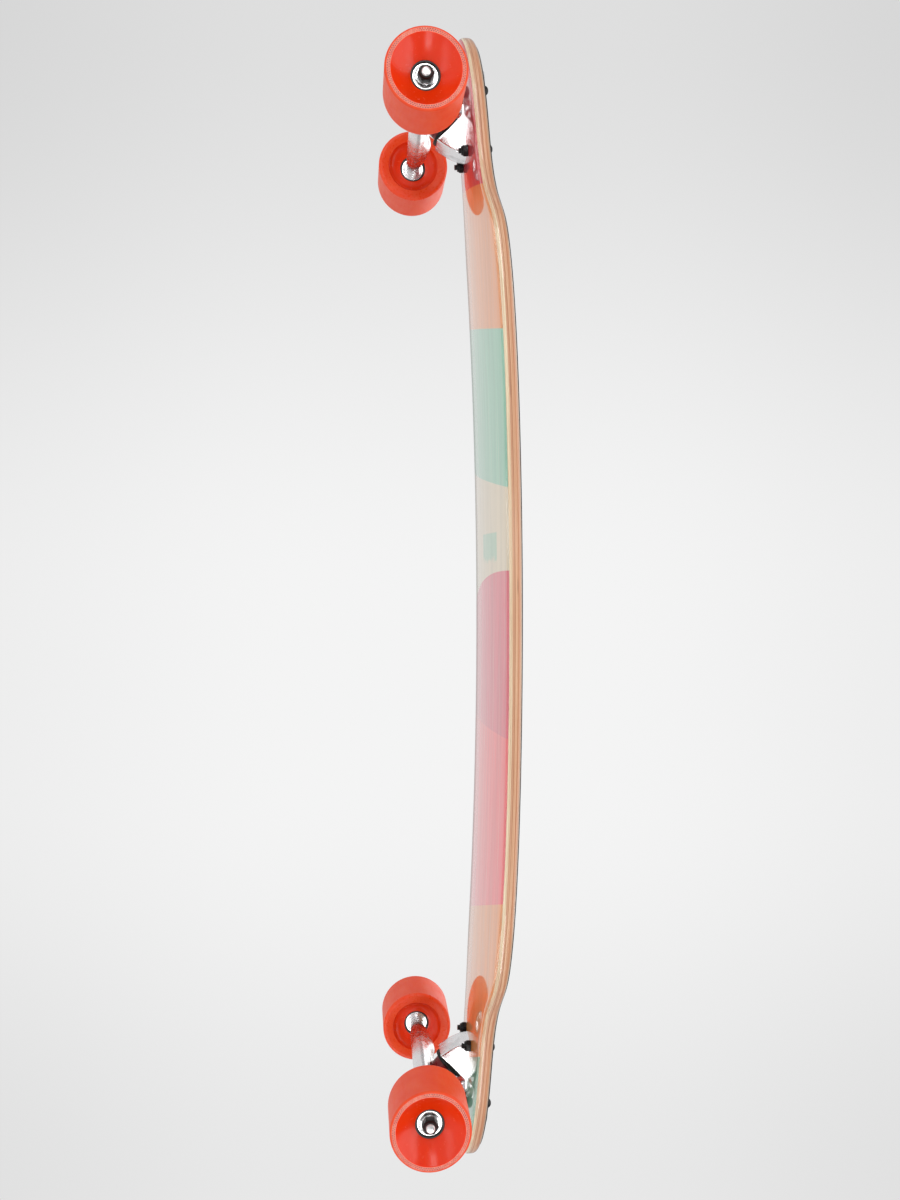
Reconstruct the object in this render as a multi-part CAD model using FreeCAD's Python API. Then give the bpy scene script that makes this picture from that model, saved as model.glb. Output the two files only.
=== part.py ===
import FreeCAD, Part
import math
import os

# Drop-through longboard: an arched, laminated deck on two steering trucks with four wheels.
# Millimetres. +X points to the nose, +Y to the left, +Z up; the ground is z = 0 under the deck's middle.

V = FreeCAD.Vector
ORIGIN = V(0, 0, 0)
X_AXIS = V(1, 0, 0)
Y_AXIS = V(0, 1, 0)
Z_AXIS = V(0, 0, 1)

# Deck
DECK_LENGTH = 1060.0
DECK_WIDTH = 235.0
CROWN_Z = 94.2             # underside of the deck on its centre line, in the middle
ARCH_RADIUS = 6250.0       # of the deck's arch from nose to tail
CONCAVE_RISE = 9.2         # how much higher the rails are than the centre line
RAIL_RADIUS = 5.0
PLIES = (                  # from the bottom up
    ("deck_bottom_veneer", 1.6),
    ("deck_lower_ply", 3.2),
    ("deck_core", 3.8),
    ("deck_upper_ply", 3.2),
    ("deck_top_veneer", 1.6),
)
DECK_THICKNESS = sum(thickness for name, thickness in PLIES)
GRIP_THICKNESS = 1.0
TOOL_TOP = 150.0           # above the whole deck
HALF_LENGTH = DECK_LENGTH / 2
HALF_WIDTH = DECK_WIDTH / 2

# Where the trucks stand
AXLE_X = 444.0
BOLT_CENTRE = 5.0          # the bolt pattern's centre, outboard of the axle
BOLT_SPACING_X = 53.98
BOLT_SPACING_Y = 41.28
SLOT_CENTRE = 9.0          # the middle of the opening that the truck body passes through, outboard of the axle
SLOT_LENGTH = 70.0
SLOT_WIDTH = 27.0
SLOT_CORNER = 6.0

# Wheels and bearings
WHEEL_RADIUS = 35.0
WHEEL_INNER_Y = 79.3
WHEEL_WIDTH = 51.0
WHEEL_OUTER_Y = WHEEL_INNER_Y + WHEEL_WIDTH
HUB_RADIUS = 12.8
BEARING_OUTER_RADIUS = 11.0
BEARING_BORE_RADIUS = 4.0
BEARING_WIDTH = 7.0
RACE_OUTER_INNER_RADIUS = 9.3
RACE_INNER_OUTER_RADIUS = 6.1
SHIELD_THICKNESS = 0.4
SHIELD_INSET = 0.5
SHIELD_GAP = 0.06
SPACER_LENGTH = 10.0
SPACER_RADIUS = 5.2

# Hanger and axle
HANGER_HALF = 90.0
SPEED_WASHER = 1.2
SPEED_WASHER_RADIUS = 5.6
AXLE_RADIUS = 3.97
AXLE_HALF = 126.0
NUT_HEIGHT = 8.0
AXLE_NUT_FLATS = 12.7
BEARING_IN = HANGER_HALF + SPEED_WASHER
BEARING_OUT = BEARING_IN + 2 * BEARING_WIDTH + SPACER_LENGTH

# Steering. Distances s run along the steering axis from the axle, outboard and up;
# distances k run along the kingpin from that axis, outboard and down.
STEER_ANGLE = 45.0
RING_S = 20.0
RING_RADIUS = 16.0
RING_HALF = 6.0
RING_SEAT_DEPTH = 1.5
RING_BORE = 8.0
WEB_SPREAD = 34.0          # half-width of the web where it meets the axle beam
NOSE_RADIUS = 5.7
NOSE_END_S = 46.3
BUSHING_RADIUS = 12.0
BUSHING_HEIGHT = 13.5
KINGPIN_RADIUS = 4.76
KINGPIN_CLEARANCE = 0.14
KINGPIN_FLATS = 14.3
KINGPIN_HEAD = 6.0
WASHER_RADIUS = 16.0
WASHER_PLATE = 1.6
WASHER_HEIGHT = 3.4
RING_FACE = RING_HALF - RING_SEAT_DEPTH
SEAT_K = -(RING_FACE + BUSHING_HEIGHT + WASHER_PLATE)
HEAD_K = SEAT_K - 12.0
CONE_HEIGHT = 13.0
CONE_END_RADIUS = 9.0
SMALL_WASHER_RADIUS = 12.0
SMALL_WASHER_PLATE = 2.0

# Baseplate, pivot cup and truck bolts
PLATE_LENGTH = 90.0
PLATE_WIDTH = 57.0
PLATE_THICKNESS = 6.0
PLATE_CORNER = 8.0
PLATE_GAP = 0.15
BODY_HALF_WIDTH = 13.0
BODY_FLOOR_Z = 40.4        # lowest point of the body's outboard end, above the axle
POCKET_HALF_WIDTH = 9.5
POCKET_WALL = 3.6
HOUSING_RADIUS = 10.5
HOUSING_START_S = 38.0
HOUSING_END_S = 50.0
CUP_RADIUS = 7.5
CUP_START_S = 37.6
CUP_END_S = 49.0
CUP_CLEARANCE = 0.08
BOLT_RADIUS = 2.4
BOLT_HOLE = 2.65
BOLT_HEAD_RADIUS = 4.7
BOLT_HEAD_HEIGHT = 3.6
BOLT_SOCKET_RADIUS = 1.6
BOLT_TIP_DROP = 8.3
LOCK_NUT_FLATS = 9.5
LOCK_NUT_HEIGHT = 5.8
LOCK_NUT_COLLAR = 1.6
PIN_GAP = 0.05
NUT_GAP = 0.12


def camber(x):
    """Height of the underside's centre line above the ground."""
    return CROWN_Z - x ** 2 / (2 * ARCH_RADIUS)


def concave(y):
    return CONCAVE_RISE * (y / HALF_WIDTH) ** 2


# Each plate lies flat on the arch, so it leans down outboard. Its long edges rest on the concave top.
PLATE_X = AXLE_X + BOLT_CENTRE
PLATE_LEAN = math.atan(PLATE_X / ARCH_RADIUS)
PLATE_Z = camber(PLATE_X) + DECK_THICKNESS + concave(PLATE_WIDTH / 2) + PLATE_GAP


def path(points, place):
    """Closed wire. A pair is a corner; a pair of pairs is an arc's middle and its end."""
    edges = []
    last = points[0]
    for step in list(points[1:]) + [points[0]]:
        if isinstance(step[0], tuple):
            middle, end = step
            edges.append(Part.Arc(place(*last), place(*middle), place(*end)).toShape())
            last = end
        elif step != last:
            edges.append(Part.makeLine(place(*last), place(*step)))
            last = step
    return Part.Wire(edges)


def extrude_xz(points, half_width):
    """Prism across the board, from a side profile of (x, z) points."""
    wire = path(points, lambda x, z: V(x, -half_width, z))
    return Part.Face(wire).extrude(V(0, 2 * half_width, 0))


def revolve_y(points):
    """Solid of revolution about the axle, from (radius, y) points."""
    wire = path(points, lambda radius, y: V(radius, y, 0))
    return Part.Face(wire).revolve(ORIGIN, Y_AXIS, 360)


def tube(radius, bore, start, end, direction=Y_AXIS):
    """Straight ring along a direction through the origin, between two distances."""
    outer = Part.makeCylinder(radius, end - start, direction * start, direction)
    if not bore:
        return outer
    return outer.cut(Part.makeCylinder(bore, end - start + 2, direction * (start - 1), direction))


def hexagon(flats, start, end, direction=Y_AXIS, across=Z_AXIS):
    """Hexagonal prism along a direction through the origin, its corners lightly chamfered."""
    corner = flats / math.sqrt(3)
    side = direction.cross(across)
    points = []
    for i in range(7):
        turn = math.radians(60 * i)
        points.append(direction * start + across * corner * math.cos(turn) + side * corner * math.sin(turn))
    prism = Part.Face(Part.makePolygon(points)).extrude(direction * (end - start))
    bevel = corner - flats / 2
    cone_length = end - start
    dome = Part.makeCone(corner + cone_length, corner - bevel, cone_length + bevel,
                         direction * (start - bevel), direction)
    return prism.common(dome)


def fuse(shapes):
    whole = shapes[0]
    for shape in shapes[1:]:
        whole = whole.fuse(shape)
    return whole


def mirror_y(shape):
    return shape.mirror(ORIGIN, Y_AXIS)


def rounded_slab(length, width, corner, bottom, height, centre_x):
    """Flat plate with rounded corners."""
    slab = Part.makeBox(length, width, height, V(centre_x - length / 2, -width / 2, bottom))
    uprights = [edge for edge in slab.Edges if abs(edge.BoundBox.ZLength - height) < 0.01]
    return slab.makeFillet(corner, uprights)


# ---- deck

def deck_sheet(height):
    """The curved surface of the deck, at a height above its underside: one parabola swept over another."""
    reach_x = HALF_LENGTH + 20
    reach_y = HALF_WIDTH + 20
    drop = camber(0) - camber(reach_x)
    rise = concave(reach_y)
    poles = []
    for x, along in ((-reach_x, -drop), (0, drop), (reach_x, -drop)):
        row = []
        for y, across in ((-reach_y, rise), (0, -rise), (reach_y, rise)):
            row.append(V(x, y, CROWN_Z + height + along + across))
        poles.append(row)
    sheet = Part.BSplineSurface()
    sheet.buildFromPolesMultsKnots(poles, [3, 3], [3, 3], [-1.0, 1.0], [-1.0, 1.0], False, False, 2, 2)
    return sheet.toShape()


def deck_outline(inset=0.0):
    """Closed outline: straight sides, cut-away necks beside the wheels, rounded nose and tail."""
    quarter = [
        V(0, HALF_WIDTH, 0),
        V(150, HALF_WIDTH - 0.4, 0),
        V(240, HALF_WIDTH - 2, 0),
        V(300, 110, 0),
        V(340, 97.5, 0),
        V(368, 77.5, 0),
        V(400, 65, 0),
        V(440, 61, 0),
        V(480, 54, 0),
        V(511, 37.5, 0),
        V(HALF_LENGTH, 0, 0),
    ]
    curve = Part.BSplineCurve()
    curve.interpolate(Points=quarter, InitialTangent=X_AXIS, FinalTangent=-Y_AXIS)
    if inset:
        inner = []
        for point in quarter:
            along = curve.tangent(curve.parameter(point))[0]
            inner.append(point + along.cross(Z_AXIS) * inset)
        curve.interpolate(Points=inner, InitialTangent=X_AXIS, FinalTangent=-Y_AXIS)
    edge = curve.toShape()
    front = Part.Wire([edge, edge.mirror(ORIGIN, Y_AXIS)])
    return Part.Wire(front.Edges + front.mirror(ORIGIN, X_AXIS).Edges)


def deck_slab(start, thickness):
    return deck_sheet(start).extrude(V(0, 0, thickness))


def bolt_positions():
    """Where the four bolts of a truck stand on its plate, from the plate's middle."""
    spots = []
    for along in (-1, 1):
        for across in (-1, 1):
            spots.append(V(along * BOLT_SPACING_X / 2, across * BOLT_SPACING_Y / 2, 0))
    return spots


def on_plate(shape):
    """Move a shape drawn round the middle of the plate's underside into the truck's frame."""
    shape.rotate(ORIGIN, Y_AXIS, math.degrees(PLATE_LEAN))
    return shape.translate(V(BOLT_CENTRE, 0, PLATE_Z - WHEEL_RADIUS))


def bolt_holes():
    """Drills through the plate and the deck, in the truck's frame."""
    reach = 2 * DECK_THICKNESS
    drill = Part.makeCylinder(BOLT_HOLE, 2 * reach, V(0, 0, -reach))
    return [on_plate(drill.translated(spot)) for spot in bolt_positions()]


def deck_openings():
    """Truck slots and bolt holes, as tools to cut with."""
    tools = []
    for end in (1, -1):
        slot_x = end * (AXLE_X + SLOT_CENTRE)
        tools.append(rounded_slab(SLOT_LENGTH, SLOT_WIDTH, SLOT_CORNER, 0, TOOL_TOP, slot_x))
        tools += [place(hole, end) for hole in bolt_holes()]
    return Part.makeCompound(tools)


def rail_inset(level):
    """How far the rounded rail has drawn in, at a height above the underside."""
    depth = max(RAIL_RADIUS - min(level, DECK_THICKNESS - level), 0.0)
    return RAIL_RADIUS - math.sqrt(RAIL_RADIUS ** 2 - depth ** 2)


def deck_parts():
    openings = deck_openings()
    parts = {}
    level = 0.0
    for name, thickness in PLIES:
        outline = deck_outline(rail_inset(level + thickness / 2))
        blank = Part.Face(outline).extrude(V(0, 0, TOOL_TOP))
        parts[name] = deck_slab(level, thickness).common(blank).cut(openings)
        level += thickness
    cover = Part.Face(deck_outline(RAIL_RADIUS)).extrude(V(0, 0, TOOL_TOP))
    grip = deck_slab(DECK_THICKNESS, GRIP_THICKNESS).common(cover)
    for end in (1, -1):
        opening = rounded_slab(PLATE_LENGTH + 2, PLATE_WIDTH + 2, PLATE_CORNER + 1, 0, TOOL_TOP, end * PLATE_X)
        grip = grip.cut(opening)
    parts["grip_tape"] = grip
    return parts


# ---- trucks, drawn with the axle on the Y axis and outboard along +X

TILT = math.radians(STEER_ANGLE)
STEER_DIR = V(math.cos(TILT), 0, math.sin(TILT))
KING_DIR = V(math.sin(TILT), 0, -math.cos(TILT))
KING_BASE = STEER_DIR * RING_S
AXLE_Z = WHEEL_RADIUS


def at(s, k):
    """Side-view (x, z) of a point given along the steering axis and the kingpin."""
    point = STEER_DIR * s + KING_DIR * k
    return (point.x, point.z)


def on_kingpin(shape):
    """Move a shape drawn along the kingpin direction from the axle to the kingpin itself."""
    return shape.translate(KING_BASE)


def hanger_section(y, radius, fin, tip_angle):
    """Closed tear-drop curve round the axle with its tip towards the deck."""
    points = []
    count = 20
    for i in range(count):
        turn = 2 * math.pi * i / count
        bump = max(math.cos(turn - math.radians(tip_angle)), 0) ** 7
        reach = radius + fin * bump
        points.append(V(reach * math.cos(turn), y, reach * math.sin(turn)))
    curve = Part.BSplineCurve()
    curve.interpolate(Points=points, PeriodicFlag=True)
    return Part.Wire([curve.toShape()])


def hanger():
    """Cast hanger: axle beam with a fin, kingpin ring and pivot nose."""
    stations = (
        (0.0, 8.6, 3.0, 50.0),
        (14.0, 8.4, 4.5, 58.0),
        (28.0, 8.2, 6.8, 74.0),
        (52.0, 7.8, 6.0, 78.0),
        (70.0, 7.2, 3.6, 78.0),
        (80.0, 6.6, 0.6, 78.0),
        (HANGER_HALF, 6.3, 0.0, 78.0),
    )
    mirrored = [(-y, radius, fin, tip) for y, radius, fin, tip in reversed(stations[1:])]
    beam = Part.makeLoft([hanger_section(*station) for station in mirrored + list(stations)], True)
    ring = on_kingpin(tube(RING_RADIUS, 0, -RING_HALF, RING_HALF, KING_DIR))
    corners = [V(0, -WEB_SPREAD, 0), V(0, WEB_SPREAD, 0), KING_BASE + V(0, RING_RADIUS, 0),
               KING_BASE - V(0, RING_RADIUS, 0), V(0, -WEB_SPREAD, 0)]
    web = Part.Face(Part.makePolygon(corners)).extrude(KING_DIR * (RING_HALF + RING_FACE))
    web.translate(KING_DIR * -RING_FACE)
    nose = Part.makeCone(8.5, NOSE_RADIUS, 8, STEER_DIR * (RING_S + 8), STEER_DIR)
    pin_end = NOSE_END_S - NOSE_RADIUS
    pin = Part.makeCylinder(NOSE_RADIUS, pin_end - RING_S - 15.5, STEER_DIR * (RING_S + 15.5), STEER_DIR)
    ball = Part.makeSphere(NOSE_RADIUS, STEER_DIR * pin_end)
    body = fuse([beam, ring, web, nose, pin, ball])
    body = body.cut(tube(AXLE_RADIUS, 0, -HANGER_HALF - 1, HANGER_HALF + 1))
    body = body.cut(on_kingpin(tube(RING_BORE, 0, -30, 30, KING_DIR)))
    body = body.cut(on_kingpin(tube(BUSHING_RADIUS + 0.3, 0, RING_FACE, 26, KING_DIR)))
    return body.cut(on_kingpin(tube(BUSHING_RADIUS + 0.3, 0, -26, -RING_FACE, KING_DIR)))


def axle():
    rod = tube(AXLE_RADIUS, 0, -AXLE_HALF, AXLE_HALF)
    return rod.makeChamfer(0.8, [edge for edge in rod.Edges if edge.BoundBox.YLength < 0.1])


def pair(shape):
    """The same piece at both ends of the axle."""
    return Part.makeCompound([shape, mirror_y(shape)])


def axle_nut():
    nut = hexagon(AXLE_NUT_FLATS, BEARING_OUT + SPEED_WASHER, BEARING_OUT + SPEED_WASHER + NUT_HEIGHT - 2)
    collar_start = BEARING_OUT + SPEED_WASHER + NUT_HEIGHT - 2
    collar = Part.makeCone(5.9, 5.2, 2, Y_AXIS * collar_start, Y_AXIS)
    return fuse([nut, collar]).cut(tube(AXLE_RADIUS, 0, 0, AXLE_HALF + 5))


def speed_washers():
    inner = tube(SPEED_WASHER_RADIUS, AXLE_RADIUS + PIN_GAP, HANGER_HALF, BEARING_IN)
    outer = tube(SPEED_WASHER_RADIUS, AXLE_RADIUS + PIN_GAP, BEARING_OUT, BEARING_OUT + SPEED_WASHER)
    return [inner, outer]


def both_ends(shapes):
    return Part.makeCompound(shapes + [mirror_y(shape) for shape in shapes])


def bearing_starts():
    return (BEARING_IN, BEARING_IN + BEARING_WIDTH + SPACER_LENGTH)


def bearing_ring(outer, inner, start):
    """Bearing ring with its four corners broken."""
    ring = tube(outer, inner, start, start + BEARING_WIDTH)
    return ring.makeChamfer(0.25, [edge for edge in ring.Edges if edge.BoundBox.YLength < 0.1])


def hanger_parts():
    inner_rings = [bearing_ring(RACE_INNER_OUTER_RADIUS, BEARING_BORE_RADIUS, start)
                   for start in bearing_starts()]
    spacer_start = BEARING_IN + BEARING_WIDTH
    spacer = tube(SPACER_RADIUS, AXLE_RADIUS + PIN_GAP, spacer_start, spacer_start + SPACER_LENGTH)
    return {
        "hanger": hanger(),
        "axle": axle(),
        "axle_nuts": pair(axle_nut()),
        "speed_washers": both_ends(speed_washers()),
        "bearing_inner_rings": both_ends(inner_rings),
        "bearing_spacers": pair(spacer),
    }


def baseplate():
    """Casting: flange above the deck, body through the slot, kingpin seat and pivot housing."""
    top = PLATE_Z - AXLE_Z
    floor = BODY_FLOOR_Z
    body_half = SLOT_LENGTH / 2 - 1
    slot_in = SLOT_CENTRE - body_half
    slot_out = SLOT_CENTRE + body_half
    lean = body_half * math.tan(PLATE_LEAN)
    seat_low = at(RING_S - 15.5, SEAT_K)
    seat_high = at(RING_S + 17.5, SEAT_K)
    side = [
        (slot_in, top + lean + 1),
        (slot_in, 46.0),
        ((-19.0, 30.5), seat_low),
        seat_high,
        (slot_out, floor),
        (slot_out, top - lean + 1),
    ]
    column = rounded_slab(2 * body_half, 2 * BODY_HALF_WIDTH, SLOT_CORNER, 0, 2 * top, SLOT_CENTRE)
    body = extrude_xz(side, BODY_HALF_WIDTH).common(column)
    housing = tube(HOUSING_RADIUS, 0, HOUSING_START_S, HOUSING_END_S, STEER_DIR)
    web = extrude_xz([at(HOUSING_START_S, -HOUSING_RADIUS), at(HOUSING_START_S, 5), at(HOUSING_END_S, 5),
                      (slot_out, floor + 2), (seat_high[0] + 3, floor + 2)], 7.0)
    flange = rounded_slab(PLATE_LENGTH, PLATE_WIDTH, PLATE_CORNER, 0, PLATE_THICKNESS, 0)
    rim = [edge for edge in flange.Edges if edge.BoundBox.ZMin > PLATE_THICKNESS - 0.01]
    flange = on_plate(flange.makeFillet(1.2, rim))
    casting = fuse([body, housing, web, flange])
    above = top + lean + PLATE_THICKNESS + 1
    low_corner = at(RING_S - POCKET_HALF_WIDTH + 0.5, HEAD_K)
    high_corner = at(RING_S + POCKET_HALF_WIDTH - 0.5, HEAD_K)
    wall = slot_in + POCKET_WALL
    head_pocket = extrude_xz([low_corner, high_corner, (high_corner[0], above), (wall, above),
                              (wall, low_corner[1] + low_corner[0] - wall)], POCKET_HALF_WIDTH)
    far_wall = slot_out - POCKET_WALL
    near_wall = high_corner[0] + 2 * POCKET_WALL
    bottom = floor + 2 * POCKET_WALL
    weight_pocket = extrude_xz([(near_wall, above), (near_wall, bottom), (far_wall, bottom), (far_wall, above)],
                               POCKET_HALF_WIDTH)
    cuts = [
        head_pocket,
        weight_pocket,
        on_kingpin(tube(KINGPIN_RADIUS, 0, HEAD_K - 1, SEAT_K + 1, KING_DIR)),
        tube(CUP_RADIUS, 0, HOUSING_START_S - 8, CUP_END_S, STEER_DIR),
    ]
    return casting.cut(Part.makeCompound(cuts + bolt_holes()))


def pivot_cup():
    """Urethane cup round the hanger's nose, open towards the ring."""
    radius = NOSE_RADIUS + CUP_CLEARANCE
    cup = tube(CUP_RADIUS, 0, CUP_START_S, CUP_END_S, STEER_DIR)
    ball_s = NOSE_END_S - NOSE_RADIUS
    bore = tube(radius, 0, CUP_START_S - 2, ball_s, STEER_DIR)
    return cup.cut(fuse([bore, Part.makeSphere(radius, STEER_DIR * ball_s)]))


def kingpin():
    """Hex-headed bolt from the baseplate's pocket down through ring and bushings."""
    tip_k = RING_FACE + CONE_HEIGHT + SMALL_WASHER_PLATE + NUT_HEIGHT + 2
    shank = tube(KINGPIN_RADIUS, 0, HEAD_K, tip_k, KING_DIR)
    tip = [edge for edge in shank.Edges if edge.CenterOfMass.dot(KING_DIR) > tip_k - 0.1]
    shank = shank.makeChamfer(0.9, tip)
    head = hexagon(KINGPIN_FLATS, HEAD_K - KINGPIN_HEAD, HEAD_K, KING_DIR, STEER_DIR)
    return on_kingpin(fuse([shank, head]))


def kingpin_nut():
    start = RING_FACE + CONE_HEIGHT + SMALL_WASHER_PLATE
    nut = hexagon(KINGPIN_FLATS, start, start + NUT_HEIGHT - 2, KING_DIR, STEER_DIR)
    collar = Part.makeCone(6.6, 6.0, 2, KING_DIR * (start + NUT_HEIGHT - 2), KING_DIR)
    return on_kingpin(fuse([nut, collar]).cut(tube(KINGPIN_RADIUS, 0, 0, start + 20, KING_DIR)))


def cup_washer():
    """Large dished washer; its rim shelters the end of the boardside bushing."""
    bore = KINGPIN_RADIUS + KINGPIN_CLEARANCE
    disc = tube(WASHER_RADIUS, bore, SEAT_K, SEAT_K + WASHER_HEIGHT, KING_DIR)
    hollow = tube(WASHER_RADIUS - WASHER_PLATE, 0, SEAT_K + WASHER_PLATE, SEAT_K + WASHER_HEIGHT + 1, KING_DIR)
    disc = disc.cut(hollow)
    rim = [edge for edge in disc.Edges if edge.Length > 6 * WASHER_RADIUS
           and edge.CenterOfMass.dot(KING_DIR) < SEAT_K + 0.1]
    return on_kingpin(disc.makeFillet(0.8, rim))


def small_washer():
    start = RING_FACE + CONE_HEIGHT
    bore = KINGPIN_RADIUS + KINGPIN_CLEARANCE
    return on_kingpin(tube(SMALL_WASHER_RADIUS, bore, start, start + SMALL_WASHER_PLATE, KING_DIR))


def barrel_bushing():
    bore = KINGPIN_RADIUS + KINGPIN_CLEARANCE
    start = -RING_FACE - BUSHING_HEIGHT
    barrel = tube(BUSHING_RADIUS, bore, start, -RING_FACE, KING_DIR)
    rims = [edge for edge in barrel.Edges if edge.Length > 5 * BUSHING_RADIUS and edge.Closed
            and len(edge.Vertexes) == 1]
    return on_kingpin(barrel.makeFillet(1.2, rims))


def cone_bushing():
    bore = KINGPIN_RADIUS + KINGPIN_CLEARANCE
    cone = Part.makeCone(BUSHING_RADIUS, CONE_END_RADIUS, CONE_HEIGHT, KING_DIR * RING_FACE, KING_DIR)
    return on_kingpin(cone.cut(tube(bore, 0, 0, 40, KING_DIR)))


def truck_bolts():
    """Domed socket screws, heads on the plate and tips below the lock nuts."""
    bolts = []
    tip = DECK_THICKNESS + concave(PLATE_WIDTH / 2) + PLATE_GAP + BOLT_TIP_DROP
    ball = (BOLT_HEAD_RADIUS ** 2 + BOLT_HEAD_HEIGHT ** 2) / (2 * BOLT_HEAD_HEIGHT)
    for spot in bolt_positions():
        seat = spot + V(0, 0, PLATE_THICKNESS)
        shank = Part.makeCylinder(BOLT_RADIUS, PLATE_THICKNESS + tip, spot - V(0, 0, tip))
        dome = Part.makeSphere(ball, seat + V(0, 0, BOLT_HEAD_HEIGHT - ball))
        dome = dome.common(Part.makeCylinder(BOLT_HEAD_RADIUS + 1, BOLT_HEAD_HEIGHT, seat))
        socket = Part.makeCylinder(BOLT_SOCKET_RADIUS, BOLT_HEAD_HEIGHT, seat + V(0, 0, 1))
        bolts.append(on_plate(fuse([shank, dome]).cut(socket)))
    return Part.makeCompound(bolts)


def lock_nuts():
    """Nuts with a nylon collar, up against the deck's underside."""
    nuts = []
    inner_edge = BOLT_SPACING_Y / 2 - LOCK_NUT_FLATS / math.sqrt(3)
    top = concave(inner_edge) - DECK_THICKNESS - concave(PLATE_WIDTH / 2) - PLATE_GAP - NUT_GAP
    body = LOCK_NUT_HEIGHT - LOCK_NUT_COLLAR
    for spot in bolt_positions():
        nut = hexagon(LOCK_NUT_FLATS, -top, body - top, -Z_AXIS, X_AXIS)
        collar = Part.makeCone(0.47 * LOCK_NUT_FLATS, 0.41 * LOCK_NUT_FLATS, LOCK_NUT_COLLAR,
                               V(0, 0, top - body), -Z_AXIS)
        nut = fuse([nut, collar]).cut(tube(BOLT_RADIUS, 0, top - 2 * LOCK_NUT_HEIGHT, top + 1, Z_AXIS))
        nuts.append(on_plate(nut.translate(spot)))
    return Part.makeCompound(nuts)


def deck_side_parts():
    """The truck pieces that stay with the deck."""
    return {
        "baseplate": baseplate(),
        "pivot_cup": pivot_cup(),
        "kingpin": kingpin(),
        "kingpin_nut": kingpin_nut(),
        "boardside_washer": cup_washer(),
        "roadside_washer": small_washer(),
        "boardside_bushing": barrel_bushing(),
        "roadside_bushing": cone_bushing(),
        "truck_bolts": truck_bolts(),
        "lock_nuts": lock_nuts(),
    }


# ---- wheels, drawn on the left side of the board

def tyre():
    """Urethane wheel: flat tread, crisp outer lip, bevelled inner lip, dished both sides."""
    out = WHEEL_OUTER_Y
    inn = WHEEL_INNER_Y
    return revolve_y([
        (WHEEL_RADIUS, inn + 3.5),
        (WHEEL_RADIUS, out - 1.6),
        ((WHEEL_RADIUS - 0.5, out - 0.5), (WHEEL_RADIUS - 1.6, out)),
        (29.6, out),
        ((20.5, out - 8.2), (HUB_RADIUS, BEARING_OUT + 1.6)),
        (HUB_RADIUS, BEARING_OUT - 3.0),
        (17.5, BEARING_OUT - 4.5),
        (17.5, BEARING_IN + 4.5),
        (HUB_RADIUS, BEARING_IN + 3.0),
        (HUB_RADIUS, BEARING_IN - 1.6),
        ((20.5, inn + 7.6), (25.0, inn + 2.2)),
        (32.5, inn),
        ((34.3, inn + 1.0), (WHEEL_RADIUS, inn + 3.5)),
    ])


def core():
    """Rigid hub moulded into the urethane, with a seat for each bearing."""
    start, second = bearing_starts()
    return revolve_y([
        (HUB_RADIUS, BEARING_IN - 1.0),
        (HUB_RADIUS, BEARING_IN + 3.0),
        (17.5, BEARING_IN + 4.5),
        (17.5, BEARING_OUT - 4.5),
        (HUB_RADIUS, BEARING_OUT - 3.0),
        (HUB_RADIUS, BEARING_OUT + 1.0),
        (BEARING_OUTER_RADIUS + 0.5, BEARING_OUT + 1.0),
        (BEARING_OUTER_RADIUS, BEARING_OUT + 0.4),
        (BEARING_OUTER_RADIUS, second),
        (RACE_OUTER_INNER_RADIUS, second),
        (RACE_OUTER_INNER_RADIUS, start + BEARING_WIDTH),
        (BEARING_OUTER_RADIUS, start + BEARING_WIDTH),
        (BEARING_OUTER_RADIUS, BEARING_IN - 0.4),
        (BEARING_OUTER_RADIUS + 0.5, BEARING_IN - 1.0),
    ])


def wheel_parts():
    rings = []
    shields = []
    for start in bearing_starts():
        rings.append(bearing_ring(BEARING_OUTER_RADIUS, RACE_OUTER_INNER_RADIUS, start))
        for face in (start + SHIELD_INSET, start + BEARING_WIDTH - SHIELD_INSET - SHIELD_THICKNESS):
            bore = RACE_INNER_OUTER_RADIUS + SHIELD_GAP
            shields.append(tube(RACE_OUTER_INNER_RADIUS, bore, face, face + SHIELD_THICKNESS))
    return {
        "tyre": tyre(),
        "core": core(),
        "bearing_outer_rings": Part.makeCompound(rings),
        "bearing_shields": Part.makeCompound(shields),
    }


def place(shape, end, side=1):
    """Copy a truck-frame shape to the front (1) or rear (-1) truck, on the left (1) or right (-1)."""
    copy = shape.copy()
    if side * end < 0:
        copy = mirror_y(copy)
    if end < 0:
        copy.rotate(ORIGIN, Z_AXIS, 180)
    copy.translate(V(end * AXLE_X, 0, AXLE_Z))
    return copy


def save(name, shape):
    shape.exportStep("parts/" + name + ".step")


os.makedirs("parts", exist_ok=True)
for name, shape in deck_parts().items():
    save(name, shape)
truck = {**deck_side_parts(), **hanger_parts()}
wheel = wheel_parts()
for end_name, end in (("front", 1), ("rear", -1)):
    for name, shape in truck.items():
        save(end_name + "_" + name, place(shape, end))
    for side_name, side in (("left", 1), ("right", -1)):
        for name, shape in wheel.items():
            save("_".join((end_name, side_name, name)), place(shape, end, side))
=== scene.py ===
import math

import bpy
import numpy as np
from mathutils import Matrix, Vector
from mathutils.geometry import delaunay_2d_cdt


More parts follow.
